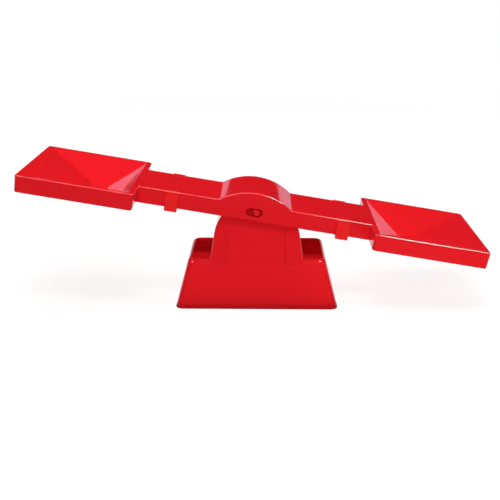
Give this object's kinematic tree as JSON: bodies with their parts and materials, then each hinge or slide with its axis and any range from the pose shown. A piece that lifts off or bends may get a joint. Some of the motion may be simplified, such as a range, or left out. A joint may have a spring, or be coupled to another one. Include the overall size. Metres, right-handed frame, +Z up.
{
  "type": "toy balance scale",
  "caption": "Moulded toy balance with a pan at each end of a beam that rocks on a knife edge over a hollow stand, trimmed by sliding clips.",
  "frame": {"origin": "on the table, straight under the knife edge and in the middle of the stand's foot", "axes": "+X along the beam towards the pan that is down at rest, -Y towards the viewer, +Z up"},
  "size_m": [0.416, 0.124, 0.1286],
  "materials": {
    "red_plastic": "glossy injection-moulded red, self-coloured",
    "clip_red_plastic": "glossy injection-moulded red, a shade warmer than the beam"
  },
  "bodies": {
    "stand": {"base": "red_plastic", "retaining_pin": "red_plastic"},
    "beam": {"beam": "red_plastic"},
    "left_compensator": {"compensator_left": "clip_red_plastic"},
    "right_compensator": {"compensator_right": "clip_red_plastic"}
  },
  "joints": [
    {"name": "beam_tilt", "type": "hinge", "parent": "stand", "child": "beam", "pos_m": [0, 0, 0.1005], "axis": [0, 1, 0], "range_deg": [-19, 0]},
    {"name": "left_compensator_slide", "type": "slide", "parent": "beam", "child": "left_compensator", "axis": [0.9863, 0, -0.165], "range_m": [-0.0246, 0.0253]},
    {"name": "right_compensator_slide", "type": "slide", "parent": "beam", "child": "right_compensator", "axis": [0.9863, 0, -0.165], "range_m": [-0.0316, 0.0183]}
  ]
}
